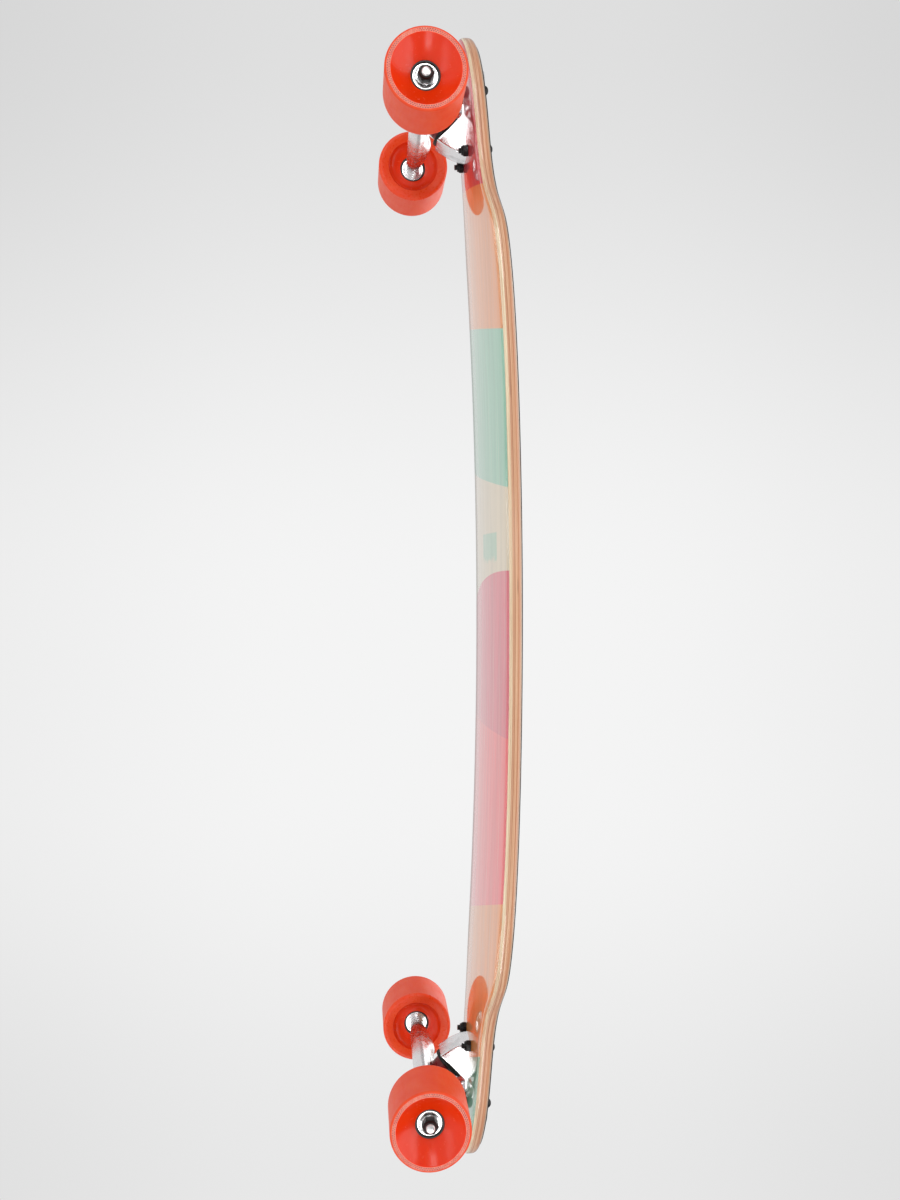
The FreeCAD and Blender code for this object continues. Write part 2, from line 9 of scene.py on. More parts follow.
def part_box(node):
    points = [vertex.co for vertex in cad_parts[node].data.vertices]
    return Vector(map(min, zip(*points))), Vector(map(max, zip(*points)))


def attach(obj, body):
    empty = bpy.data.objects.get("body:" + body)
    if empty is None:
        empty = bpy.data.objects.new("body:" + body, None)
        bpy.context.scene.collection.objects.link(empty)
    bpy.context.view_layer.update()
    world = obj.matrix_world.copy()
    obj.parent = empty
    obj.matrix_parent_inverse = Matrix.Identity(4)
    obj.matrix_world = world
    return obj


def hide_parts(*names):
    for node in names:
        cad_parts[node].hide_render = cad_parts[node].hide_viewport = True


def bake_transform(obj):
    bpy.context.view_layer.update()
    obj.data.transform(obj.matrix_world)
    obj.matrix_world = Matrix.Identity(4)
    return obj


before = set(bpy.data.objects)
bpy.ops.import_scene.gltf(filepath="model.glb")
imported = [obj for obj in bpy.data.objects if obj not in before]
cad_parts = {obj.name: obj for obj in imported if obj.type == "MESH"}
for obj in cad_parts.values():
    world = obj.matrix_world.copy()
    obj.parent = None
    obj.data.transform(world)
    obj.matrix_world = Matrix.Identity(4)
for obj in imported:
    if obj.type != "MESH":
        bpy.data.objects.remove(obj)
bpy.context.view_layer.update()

# Looks of the drop-through longboard. Metres, in the CAD frame: +X nose, +Y left, +Z up, ground at z = 0.

MM = 0.001

# Deck. Its overall size comes from the CAD boxes, its plies and curves are the design's own values.
PLY_NODES = ("deck_bottom_veneer", "deck_lower_ply", "deck_core", "deck_upper_ply", "deck_top_veneer")
HALF_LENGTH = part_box("deck_core")[1].x
HALF_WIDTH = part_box("deck_core")[1].y
PLY_THICKNESS = (1.6 * MM, 3.2 * MM, 3.8 * MM, 3.2 * MM, 1.6 * MM)
DECK_THICKNESS = sum(PLY_THICKNESS)
GRIP_THICKNESS = 1.0 * MM
RAIL_RADIUS = 5.0 * MM
CONCAVE_RISE = 9.2 * MM
BOTTOM_LOW, BOTTOM_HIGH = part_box("deck_bottom_veneer")
CROWN = BOTTOM_HIGH.z - PLY_THICKNESS[0] - CONCAVE_RISE * (BOTTOM_HIGH.y / HALF_WIDTH) ** 2
ARCH_RADIUS = BOTTOM_HIGH.x ** 2 / 2 / (CROWN - BOTTOM_LOW.z)
OUTLINE = (                      # a quarter of the outline, as shares of the half length and half width
    (0.0, 1.0),
    (0.283, 0.997),
    (0.453, 0.983),
    (0.566, 0.936),
    (0.642, 0.830),
    (0.694, 0.660),
    (0.755, 0.553),
    (0.830, 0.519),
    (0.906, 0.460),
    (0.964, 0.319),
    (1.0, 0.0),
)
OUTLINE_STEP = 3.5 * MM
RAIL_STEP = math.radians(7)

# Trucks, placed by the CAD boxes
ENDS = (("front", 1), ("rear", -1))
SIDES = (("left", 1), ("right", -1))
PLATE_LOW, PLATE_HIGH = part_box("front_baseplate")
BOLT_SPACING = (53.98 * MM, 41.28 * MM)
BOLT_HOLE = 3.2 * MM
SLOT = (70 * MM, 27 * MM, 6 * MM)      # length, width, corner
SLOT_CENTRE = 9 * MM                   # outboard of the axle
STEER_TILT = math.radians(45)


def box_centre(node):
    low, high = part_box(node)
    return (low + high) / 2


AXLE = box_centre("front_axle")


# ---- materials

def paint(red, green, blue):
    """Linear colour from the 0 to 255 values seen on a screen."""
    values = []
    for value in (red, green, blue):
        share = value / 255
        values.append(share / 12.92 if share < 0.04045 else ((share + 0.055) / 1.055) ** 2.4)
    return (*values, 1.0)


class Wiring:
    """Short names for the nodes of one material. Every method returns an output socket."""

    def __init__(self, tree):
        self.tree = tree

    def node(self, kind, **settings):
        node = self.tree.nodes.new(kind)
        for key, value in settings.items():
            setattr(node, key, value)
        return node

    def put(self, socket, value):
        if isinstance(value, bpy.types.NodeSocket):
            self.tree.links.new(value, socket)
        else:
            socket.default_value = value

    def calc(self, operation, first, second=0.0):
        node = self.node("ShaderNodeMath", operation=operation)
        self.put(node.inputs[0], first)
        self.put(node.inputs[1], second)
        return node.outputs[0]

    def add(self, first, second):
        return self.calc("ADD", first, second)

    def times(self, first, second):
        return self.calc("MULTIPLY", first, second)

    def place(self):
        """The point's position in the piece's own axes, as x, y and z."""
        node = self.node("ShaderNodeTexCoord")
        split = self.node("ShaderNodeSeparateXYZ")
        self.put(split.inputs[0], node.outputs["Object"])
        return split.outputs[0], split.outputs[1], split.outputs[2]

    def attribute(self, name):
        return self.node("ShaderNodeAttribute", attribute_name=name).outputs["Fac"]

    def vector(self, x, y, z):
        node = self.node("ShaderNodeCombineXYZ")
        for socket, value in zip(node.inputs, (x, y, z)):
            self.put(socket, value)
        return node.outputs[0]

    def stretched(self, x_scale, y_scale, z_scale):
        """The place, scaled along each axis."""
        x, y, z = self.place()
        return self.vector(self.times(x, x_scale), self.times(y, y_scale), self.times(z, z_scale))

    def along_board(self, x_scale, y_scale, level_scale):
        """The place in the laminate, scaled: along it, across it and up through its plies."""
        x, y, _ = self.place()
        level = self.attribute("level")
        return self.vector(self.times(x, x_scale), self.times(y, y_scale), self.times(level, level_scale))

    def radius(self, first, second):
        return self.calc("SQRT", self.add(self.times(first, first), self.times(second, second)))

    def noise(self, vector, scale=1.0, detail=3.0, roughness=0.55, distortion=0.0):
        node = self.node("ShaderNodeTexNoise")
        self.put(node.inputs["Vector"], vector)
        self.put(node.inputs["Scale"], scale)
        self.put(node.inputs["Detail"], detail)
        self.put(node.inputs["Roughness"], roughness)
        self.put(node.inputs["Distortion"], distortion)
        return node.outputs["Fac"]

    def cells(self, vector, scale=1.0):
        node = self.node("ShaderNodeTexVoronoi")
        self.put(node.inputs["Vector"], vector)
        self.put(node.inputs["Scale"], scale)
        return node.outputs["Distance"]

    def ramp(self, value, low, high, start=0.0, end=1.0):
        """Smooth step of a value from start at low to end at high."""
        node = self.node("ShaderNodeMapRange", interpolation_type="SMOOTHSTEP")
        self.put(node.inputs["Value"], value)
        self.put(node.inputs["From Min"], low)
        self.put(node.inputs["From Max"], high)
        self.put(node.inputs["To Min"], start)
        self.put(node.inputs["To Max"], end)
        return node.outputs["Result"]

    def mix(self, amount, first, second, blend="MIX"):
        node = self.node("ShaderNodeMix", data_type="RGBA", blend_type=blend)
        self.put(node.inputs["Factor"], amount)
        self.put(node.inputs[6], first)
        self.put(node.inputs[7], second)
        return node.outputs[2]

    def bump(self, height, distance, strength=1.0):
        node = self.node("ShaderNodeBump")
        self.put(node.inputs["Height"], height)
        self.put(node.inputs["Distance"], distance)
        self.put(node.inputs["Strength"], strength)
        return node.outputs["Normal"]


def new_material(name):
    material = bpy.data.materials.new(name)
    material.use_nodes = True
    tree = material.node_tree
    tree.nodes.clear()
    output = tree.nodes.new("ShaderNodeOutputMaterial")
    shader = tree.nodes.new("ShaderNodeBsdfPrincipled")
    tree.links.new(shader.outputs["BSDF"], output.inputs["Surface"])
    return material, Wiring(tree), shader.inputs


def wood_grain(wire):
    """Grain along the board: broad streaks and fine fibres, from 0 to 1."""
    broad = wire.noise(wire.along_board(5, 90, 1.1), detail=4, distortion=0.4)
    fine = wire.noise(wire.along_board(26, 620, 6.5), detail=3)
    return wire.add(wire.times(broad, 0.65), wire.times(fine, 0.35)), fine


def varnish(wire, inputs, roughness, index=1.55):
    wire.put(inputs["Coat Weight"], 1.0)
    wire.put(inputs["Coat Roughness"], roughness)
    wire.put(inputs["Coat IOR"], index)


def see_through(wire, inputs, weight, depth):
    """Red light spreads furthest inside the urethane."""
    wire.put(inputs["Subsurface Weight"], weight)
    wire.put(inputs["Subsurface Radius"], (1.0, 0.25, 0.1))
    wire.put(inputs["Subsurface Scale"], depth)


def wood_material(name, pale, bands, knots=0.0):
    """Varnished wood. Bands are the finer layers in it: each starts at a level in mm, in another colour."""
    material, wire, inputs = new_material(name)
    grain, fine = wood_grain(wire)
    for start, colour in bands:
        pale = wire.mix(wire.ramp(wire.attribute("level"), start - 0.1, start + 0.1), pale, colour)
    dark = wire.mix(1.0, pale, paint(225, 196, 178), "MULTIPLY")
    colour = wire.mix(wire.ramp(grain, 0.36, 0.64), pale, dark)
    if knots:
        spots = wire.cells(wire.along_board(9, 9, 0.16))
        brown = wire.mix(1.0, dark, paint(120, 70, 40), "MULTIPLY")
        colour = wire.mix(wire.ramp(spots, 0.1, 0.03, 0.0, knots), colour, brown)
    wire.put(inputs["Base Color"], colour)
    wire.put(inputs["Roughness"], wire.ramp(fine, 0.3, 0.7, 0.38, 0.55))
    wire.put(inputs["Normal"], wire.bump(fine, 0.06 * MM))
    varnish(wire, inputs, 0.07)
    return material


CRIMSON = paint(205, 42, 52)
ROSE = paint(212, 62, 84)
SALMON = paint(232, 78, 82)
PEACH = paint(226, 138, 62)
MINT = paint(126, 184, 154)
NATURAL = paint(212, 194, 164)


def graphic_material():
    """Printed underside: plain blocks of colour over veneer, some with brushed or curved ends."""
    material, wire, inputs = new_material("printed_veneer")
    x, y, _ = wire.place()
    grain, fine = wood_grain(wire)
    brush = wire.noise(wire.vector(wire.times(x, 4), wire.times(y, 230), 0.0), detail=4)

    def nose_side(edge, ragged=0.0, bend=0.0):
        """1 past an edge towards the tail. The edge may be ragged, or lean across the board."""
        blur = 0.6 * MM
        here = wire.add(x, wire.times(y, bend))
        if ragged:
            here = wire.add(here, wire.times(wire.add(brush, -0.5), ragged))
        return wire.ramp(here, edge + blur, edge - blur)

    def patch(colour, base, high, low, left, ragged=0.0):
        """A block between two distances along the board, 64 mm wide about a line left of the middle."""
        inside = wire.times(nose_side(high), wire.calc("SUBTRACT", 1.0, nose_side(low, ragged)))
        aside = wire.calc("ABSOLUTE", wire.add(y, -left))
        inside = wire.times(inside, wire.ramp(aside, 34 * MM, 30 * MM))
        return wire.mix(wire.times(inside, 0.75), base, colour)

    off_rail = wire.calc("ABSOLUTE", wire.add(y, -HALF_WIDTH))
    arc = wire.times(wire.calc("POWER", off_rail, 2.0), 0.9)
    colour = CRIMSON
    colour = wire.mix(nose_side(392 * MM, bend=0.275), colour, PEACH)
    colour = wire.mix(nose_side(260.5 * MM, bend=0.218), colour, MINT)
    colour = wire.mix(nose_side(119 * MM, bend=0.154), colour, NATURAL)
    colour = patch(MINT, colour, 64 * MM, 40 * MM, 50 * MM, 26 * MM)
    rose_edge = wire.ramp(wire.add(x, arc), 30.6 * MM, 29.4 * MM)
    colour = wire.mix(rose_edge, colour, ROSE)
    colour = wire.mix(nose_side(-114 * MM), colour, SALMON)
    colour = wire.mix(nose_side(-293.5 * MM, bend=-0.32), colour, PEACH)
    colour = wire.mix(nose_side(-441 * MM, bend=-0.457), colour, MINT)
    streaks = wire.ramp(grain, 0.35, 0.65, 0.86, 1.06)
    colour = wire.mix(1.0, colour, wire.vector(streaks, streaks, streaks), "MULTIPLY")
    colour = wire.mix(wire.ramp(brush, 0.56, 0.75, 0.0, 0.35), colour, NATURAL)
    wire.put(inputs["Base Color"], colour)
    wire.put(inputs["Roughness"], wire.ramp(fine, 0.3, 0.7, 0.4, 0.55))
    wire.put(inputs["Normal"], wire.bump(fine, 0.03 * MM))
    varnish(wire, inputs, 0.05, 2.5)
    return material


def grip_material():
    """Silicon-carbide grit on black paper."""
    material, wire, inputs = new_material("grit")
    spot = wire.stretched(1, 1, 1)
    grit = wire.cells(spot, 1500)
    sparkle = wire.noise(spot, 900, detail=2)
    worn = wire.noise(wire.stretched(3, 6, 1), 3, detail=4)
    colour = wire.mix(wire.ramp(sparkle, 0.55, 0.72), paint(30, 30, 32), paint(92, 92, 96))
    colour = wire.mix(wire.ramp(worn, 0.5, 0.75, 0.0, 0.4), colour, paint(58, 56, 55))
    wire.put(inputs["Base Color"], colour)
    wire.put(inputs["Roughness"], wire.ramp(sparkle, 0.4, 0.75, 0.95, 0.5))
    wire.put(inputs["Normal"], wire.bump(grit, 0.35 * MM, 0.8))
    return material


def urethane_material(name, colour, pale, roughness, grain_depth, haze):
    """Cast urethane: slightly see-through, with the fine drag lines of its mould or lathe."""
    material, wire, inputs = new_material(name)
    x, y, z = wire.place()
    radius = wire.radius(x, z)
    lines = wire.noise(wire.vector(wire.times(radius, 900), wire.times(y, 900), 0.0), detail=2)
    cloud = wire.noise(wire.stretched(60, 60, 60), detail=3)
    scuffs = wire.noise(wire.stretched(320, 90, 320), detail=4, roughness=0.7)
    worn = wire.add(wire.times(cloud, 0.6), wire.times(scuffs, 0.4))
    wire.put(inputs["Base Color"], wire.mix(wire.ramp(worn, 0.4, 0.68, haze * 0.4, haze), colour, pale))
    wire.put(inputs["Roughness"], wire.ramp(scuffs, 0.35, 0.7, roughness, roughness + 0.12))
    wire.put(inputs["Normal"], wire.bump(lines, grain_depth))
    see_through(wire, inputs, 0.35, 2.5 * MM)
    wire.put(inputs["Specular IOR Level"], 0.35)
    return material


def printed_lip_material():
    """Ground lip of a wheel, with two plain rings of faint printed dots."""
    material, wire, inputs = new_material("wheel_lip")
    x, _, z = wire.place()
    radius = wire.radius(x, z)
    turn = wire.calc("ARCTAN2", x, z)
    dots = 96
    dot_length = 1.7 * MM
    along = wire.calc("PINGPONG", wire.times(turn, dots / (2 * math.pi)), 0.5)
    rows = []
    for ring, shift in ((30.9 * MM, 0.0), (32.3 * MM, 0.5)):
        off = wire.calc("ABSOLUTE", wire.times(wire.add(radius, -ring), 1 / dot_length))
        near = wire.calc("ABSOLUTE", wire.add(along, -shift))
        rows.append(wire.ramp(wire.add(wire.times(off, off), wire.times(near, near)), 0.12, 0.07))
    fade = wire.ramp(wire.noise(wire.stretched(28, 28, 28), detail=2), 0.38, 0.62, 0.25, 0.85)
    ink = wire.times(wire.calc("MAXIMUM", rows[0], rows[1]), fade)
    scuffs = wire.noise(wire.stretched(240, 240, 240), detail=4, roughness=0.7)
    ground = wire.mix(wire.ramp(scuffs, 0.35, 0.7), paint(232, 110, 86), paint(238, 150, 130))
    wire.put(inputs["Base Color"], wire.mix(ink, ground, paint(120, 52, 66)))
    wire.put(inputs["Roughness"], wire.ramp(scuffs, 0.3, 0.7, 0.45, 0.62))
    wire.put(inputs["Normal"], wire.bump(scuffs, 0.05 * MM))
    see_through(wire, inputs, 0.2, 2.0 * MM)
    return material


def metal_material(name, colour, dark, roughness, grain, depth):
    """Bare metal with a cast or turned surface and a few darker marks."""
    material, wire, inputs = new_material(name)
    rough = wire.noise(wire.stretched(grain, grain, grain), detail=5, roughness=0.65)
    marks = wire.noise(wire.stretched(70, 45, 70), detail=5, distortion=0.6)
    wire.put(inputs["Base Color"], wire.mix(wire.ramp(marks, 0.45, 0.75, 0.0, 0.6), colour, dark))
    wire.put(inputs["Metallic"], 1.0)
    wire.put(inputs["Roughness"], wire.ramp(rough, 0.3, 0.75, roughness, roughness + 0.18))
    wire.put(inputs["Normal"], wire.bump(rough, depth))
    return material


def black_steel_material():
    """Blackened steel, worn to bare metal in places."""
    material, wire, inputs = new_material("black_oxide")
    rough = wire.noise(wire.stretched(700, 700, 700), detail=4)
    worn = wire.noise(wire.stretched(160, 160, 160), detail=5, roughness=0.7)
    bare = wire.ramp(worn, 0.62, 0.78, 0.0, 0.3)
    wire.put(inputs["Base Color"], wire.mix(bare, paint(10, 9, 10), paint(84, 78, 76)))
    wire.put(inputs["Metallic"], wire.ramp(worn, 0.6, 0.76, 0.0, 0.5))
    wire.put(inputs["Specular IOR Level"], 0.28)
    wire.put(inputs["Roughness"], wire.ramp(rough, 0.3, 0.7, 0.26, 0.42))
    wire.put(inputs["Normal"], wire.bump(rough, 0.03 * MM))
    return material


def plastic_material(name, colour, lighter, roughness):
    """Moulded plastic with a fine speckle."""
    material, wire, inputs = new_material(name)
    speckle = wire.noise(wire.stretched(900, 900, 900), detail=3)
    wire.put(inputs["Base Color"], wire.mix(wire.ramp(speckle, 0.45, 0.75, 0.0, 0.5), colour, lighter))
    wire.put(inputs["Roughness"], wire.ramp(speckle, 0.3, 0.7, roughness, roughness + 0.12))
    wire.put(inputs["Normal"], wire.bump(speckle, 0.04 * MM))
    return material


TAN = paint(214, 170, 138)
BEIGE = paint(196, 160, 126)
MATERIALS = {
    "veneer": graphic_material(),
    "cream": wood_material("cream_ply", paint(236, 220, 186), [(4.2, TAN)]),
    "tan": wood_material("bamboo_core", TAN, [(5.8, paint(188, 134, 94)), (6.5, paint(224, 182, 146))],
                         0.35),
    "amber": wood_material("bamboo_ply", paint(202, 146, 106), [(11.1, BEIGE)], 0.5),
    "beige": wood_material("top_ply", BEIGE, [(12.7, paint(184, 150, 104))]),
    "grip": grip_material(),
    "lip": printed_lip_material(),
    "black_steel": black_steel_material(),
    # Hub: near-black plastic, partly painted shade; the dark ring it shows round each bearing also stands
    # in for the shadow in the gap at the bearing seat
    "hub": plastic_material("hub_plastic", paint(22, 20, 21), paint(46, 42, 42), 0.28),
    "cup": plastic_material("cup_urethane", paint(26, 24, 26), paint(50, 46, 48), 0.4),
}
for key, name, colour, pale, roughness, grain_depth, haze in (
        ("dish", "urethane_dish", paint(230, 50, 6), paint(240, 88, 30), 0.16, 0.01, 0.1),
        ("tread", "urethane_tread", paint(228, 58, 10), paint(238, 108, 60), 0.42, 0.03, 0.4),
        ("shoulder", "urethane_shoulder", paint(232, 58, 10), paint(242, 112, 60), 0.26, 0.02, 0.3),
        ("bushing", "bushing_urethane_finish", paint(112, 4, 12), paint(150, 20, 24), 0.25, 0.02, 0.3),
):
    MATERIALS[key] = urethane_material(name, colour, pale, roughness, grain_depth * MM, haze)
for key, name, colour, dark, roughness, grain, depth in (
        ("alloy", "cast_alloy_finish", (0.8, 0.79, 0.8, 1), (0.42, 0.41, 0.42, 1), 0.15, 240, 0.02),
        ("steel", "zinc_steel", (0.66, 0.66, 0.67, 1), (0.4, 0.4, 0.42, 1), 0.24, 500, 0.02),
        ("bearing", "bearing_steel_finish", (0.92, 0.92, 0.93, 1), (0.66, 0.66, 0.68, 1), 0.1, 800, 0.01),
):
    MATERIALS[key] = metal_material(name, colour, dark, roughness, grain, depth * MM)


# ---- mesh helpers

def make_piece(name, points, faces, materials, body, nodes, centre=Vector((0, 0, 0)), indices=None,
               level=None, sharp=None):
    """Mesh object in place of CAD nodes, riding on a body if one is given. Points are about the centre."""
    mesh = bpy.data.meshes.new(name)
    mesh.from_pydata([tuple(point) for point in points], [], faces)
    mesh.shade_smooth()
    for key in materials:
        mesh.materials.append(MATERIALS[key])
    if indices is not None:
        mesh.polygons.foreach_set("material_index", indices)
    if level is not None:
        layer = mesh.attributes.new("level", "FLOAT", "POINT")
        layer.data.foreach_set("value", level)
    mesh.validate()
    if sharp:
        wanted = set(tuple(sorted(edge)) for edge in sharp)
        for edge in mesh.edges:
            if tuple(sorted(edge.vertices)) in wanted:
                edge.use_edge_sharp = True
    else:
        mesh.set_sharp_from_angle(angle=math.radians(32))
    piece = bpy.data.objects.new(name, mesh)
    piece.location = centre
    bpy.context.scene.collection.objects.link(piece)
    if body:
        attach(piece, body)
    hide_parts(*nodes)
    return piece


def arc_through(start, middle, end, count):
    """Points of the arc from start to end through middle, without its start."""
    (ax, ay), (bx, by), (cx, cy) = start, middle, end
    scale = 2 * (ax * (by - cy) + bx * (cy - ay) + cx * (ay - by))
    aa = ax * ax + ay * ay
    bb = bx * bx + by * by
    cc = cx * cx + cy * cy
    centre_x = (aa * (by - cy) + bb * (cy - ay) + cc * (ay - by)) / scale
    centre_y = (aa * (cx - bx) + bb * (ax - cx) + cc * (bx - ax)) / scale
    radius = math.hypot(ax - centre_x, ay - centre_y)
    first = math.atan2(ay - centre_y, ax - centre_x)
    turns = []
    for x, y in (middle, end):
        turns.append(math.atan2(y - centre_y, x - centre_x) - first)
    sweep = turns[1] % (2 * math.pi)
    if turns[0] % (2 * math.pi) > sweep:
        sweep -= 2 * math.pi
    points = []
    for i in range(1, count + 1):
        turn = first + sweep * i / count
        points.append((centre_x + radius * math.cos(turn), centre_y + radius * math.sin(turn)))
    return points


def rounded(points, radius, steps=4):
    """A closed outline of (a, b) corners with each corner rounded. A corner may give its own radius."""
    result = []
    count = len(points)
    for i, corner in enumerate(points):
        size = corner[2] if len(corner) > 2 else radius
        here = Vector(corner[:2])
        before = Vector(points[i - 1][:2]) - here
        after = Vector(points[(i + 1) % count][:2]) - here
        size = min(size, before.length * 0.45, after.length * 0.45)
        start = here + before.normalized() * size
        end = here + after.normalized() * size
        for step in range(steps + 1):
            t = step / steps
            result.append(tuple(start * (1 - t) ** 2 + here * 2 * t * (1 - t) + end * t ** 2))
    return result


def lathe(profile, direction=Vector((0, 1, 0)), across=Vector((0, 0, 1)), segments=120):
    """Points and faces of a closed (radius, distance) profile turned about a direction."""
    side = direction.cross(across)
    points = []
    faces = []
    rows = len(profile)
    for i in range(segments):
        turn = 2 * math.pi * i / segments
        out = across * math.cos(turn) + side * math.sin(turn)
        for radius, distance in profile:
            points.append(direction * distance + out * radius)
    for i in range(segments):
        following = (i + 1) % segments
        for j in range(rows):
            other = (j + 1) % rows
            faces.append((i * rows + j, i * rows + other, following * rows + other, following * rows + j))
    return points, faces


def joined(parts):
    """Several (points, faces) as one."""
    points = []
    faces = []
    for new_points, new_faces in parts:
        start = len(points)
        points += new_points
        faces += [tuple(start + index for index in face) for face in new_faces]
    return points, faces


# ---- deck

def camber(x):
    """Height of the underside's centre line above the ground."""
    return CROWN - x ** 2 / (2 * ARCH_RADIUS)


def lift(x, y, level):
    """Height of the deck's surface at a level above its underside."""
    return camber(x) + CONCAVE_RISE * (y / HALF_WIDTH) ** 2 + level


def spline(points, start_slope, end_slope, step):
    """Points and tangents every step along a smooth curve through a few points."""
    points = np.array(points, float)
    gaps = np.linalg.norm(np.diff(points, axis=0), axis=1)
    count = len(points)
    matrix = np.zeros((count, count))
    right = np.zeros((count, 2))
    matrix[0, 0] = matrix[-1, -1] = 1
    right[0], right[-1] = start_slope, end_slope
    for i in range(1, count - 1):
        before, after = gaps[i - 1], gaps[i]
        matrix[i, i - 1:i + 2] = after, 2 * (before + after), before
        entering = after * (points[i] - points[i - 1]) / before
        leaving = before * (points[i + 1] - points[i]) / after
        right[i] = 3 * (entering + leaving)
    slopes = np.linalg.solve(matrix, right)
    spots = []
    tangents = []
    for i, gap in enumerate(gaps):
        steps = max(int(round(gap / step)), 2)
        for t in np.arange(steps) / steps:
            a, b = points[i], points[i + 1]
            ta, tb = slopes[i] * gap, slopes[i + 1] * gap
            spots.append(a * (2 * t ** 3 - 3 * t ** 2 + 1) + ta * (t ** 3 - 2 * t ** 2 + t)
                         + b * (3 * t ** 2 - 2 * t ** 3) + tb * (t ** 3 - t ** 2))
            tangents.append(a * (6 * t ** 2 - 6 * t) + ta * (3 * t ** 2 - 4 * t + 1)
                            + b * (6 * t - 6 * t ** 2) + tb * (3 * t ** 2 - 2 * t))
    spots.append(points[-1])
    tangents.append(slopes[-1])
    tangents = np.array(tangents)
    return np.array(spots), tangents / np.linalg.norm(tangents, axis=1)[:, None]


def deck_outline():
    """The closed outline and its inward normals, counter-clockwise from the nose tip."""
    quarter = [(x * HALF_LENGTH, y * HALF_WIDTH) for x, y in OUTLINE]
    spots, tangents = spline(quarter, (1, 0), (0, -1), OUTLINE_STEP)
    spots, tangents = spots[::-1], -tangents[::-1]
    inward = np.stack([-tangents[:, 1], tangents[:, 0]], axis=1)
    left = np.concatenate([spots, (spots * (-1, 1))[-2:0:-1]])
    left_in = np.concatenate([inward, (inward * (-1, 1))[-2:0:-1]])
    tail, tail_in = spots[0] * (-1, 1), inward[0] * (-1, 1)
    outline = np.concatenate([left, [tail], (left * (1, -1))[:0:-1]])
    normals = np.concatenate([left_in, [tail_in], (left_in * (1, -1))[:0:-1]])
    return outline, normals


def circle(centre_x, centre_y, radius, count=24):
    turns = np.arange(count) * 2 * math.pi / count
    return np.stack([centre_x + radius * np.cos(turns), centre_y + radius * np.sin(turns)], axis=1)


def rounded_rectangle(centre_x, length, width, corner, steps=8):
    spots = []
    for quarter, (sx, sy) in enumerate(((1, 1), (-1, 1), (-1, -1), (1, -1))):
        for step in range(steps + 1):
            turn = math.pi / 2 * (quarter + step / steps)
            spots.append((centre_x + sx * (length / 2 - corner) + corner * math.cos(turn),
                          sy * (width / 2 - corner) + corner * math.sin(turn)))
    return np.array(spots)


def fill_plan(outline, holes, spacing=(10 * MM, 8 * MM), margin=7 * MM):
    """Triangles over a flat outline with holes: the points, the triangles and each loop's indices."""
    loops = [outline] + holes
    fixed = np.concatenate(loops)
    edges = []
    start = 0
    for loop in loops:
        edges += [(start + i, start + (i + 1) % len(loop)) for i in range(len(loop))]
        start += len(loop)
    xs = np.arange(-HALF_LENGTH, HALF_LENGTH, spacing[0])
    ys = np.arange(-HALF_WIDTH + spacing[1] / 2, HALF_WIDTH, spacing[1])
    grid = np.stack(np.meshgrid(xs, ys), axis=-1).reshape(-1, 2)
    clear = np.array([np.min(np.sum((fixed - spot) ** 2, axis=1)) > margin ** 2 for spot in grid])
    spots = [Vector(spot) for spot in np.concatenate([fixed, grid[clear]])]
    found = delaunay_2d_cdt(spots, edges, [], 2, 1e-7)
    where = {}
    for index, sources in enumerate(found[3]):
        for source in sources:
            where[source] = index
    rings = []
    start = 0
    for loop in loops:
        rings.append([where[start + i] for i in range(len(loop))])
        start += len(loop)
    return np.array([tuple(spot) for spot in found[0]]), [tuple(face) for face in found[2]], rings


def build_sheet(plan, normals, levels, insets):
    """A solid sheet between the first and last level. Its rim follows the insets at the levels between."""
    flat, triangles, rings = plan
    rim = rings[0]
    points = []
    heights = []

    def add_layer(spots, level):
        start = len(points)
        z = lift(spots[:, 0], spots[:, 1], level)
        points.extend(np.column_stack([spots, z]).tolist())
        heights.extend([level / MM] * len(spots))
        return start

    layers = []
    for level, inset in ((levels[0], insets[0]), (levels[-1], insets[-1])):
        spots = flat.copy()
        spots[rim] += normals * inset
        layers.append(add_layer(spots, level))
    faces = [tuple(layers[0] + i for i in reversed(triangle)) for triangle in triangles]
    faces += [tuple(layers[1] + i for i in triangle) for triangle in triangles]
    count = len(rim)
    rows = [[layers[0] + i for i in rim]]
    for level, inset in list(zip(levels, insets))[1:-1]:
        start = add_layer(flat[rim] + normals * inset, level)
        rows.append(list(range(start, start + count)))
    rows.append([layers[1] + i for i in rim])
    for low, high in zip(rows, rows[1:]):
        for i in range(count):
            j = (i + 1) % count
            faces.append((low[i], low[j], high[j], high[i]))
    sharp = []
    for ring in rings[1:]:
        for i, here in enumerate(ring):
            there = ring[(i + 1) % len(ring)]
            faces.append((layers[0] + there, layers[0] + here, layers[1] + here, layers[1] + there))
            sharp += [(layers[0] + here, layers[0] + there), (layers[1] + here, layers[1] + there)]
    seams = []
    for row in (rows[0], rows[-1]):
        seams.append([(row[i], row[(i + 1) % count]) for i in range(count)])
    return points, faces, heights, sharp, seams


def rail_inset(level):
    """How far the rounded rail has drawn in at a level."""
    depth = max(RAIL_RADIUS - min(level, DECK_THICKNESS - level), 0.0)
    return RAIL_RADIUS - math.sqrt(max(RAIL_RADIUS ** 2 - depth ** 2, 0.0))


def rail_levels(low, high):
    """Levels between two heights at which the rail's curve turns by one step."""
    levels = {low, high}
    for i in range(int(math.pi / 2 / RAIL_STEP) + 1):
        drop = RAIL_RADIUS * (1 - math.cos(i * RAIL_STEP))
        rise = RAIL_RADIUS * (1 - math.sin(math.pi / 2 - i * RAIL_STEP))
        for level in (drop, rise, DECK_THICKNESS - drop, DECK_THICKNESS - rise):
            if low + 0.05 * MM < level < high - 0.05 * MM:
                levels.add(level)
    return sorted(levels)


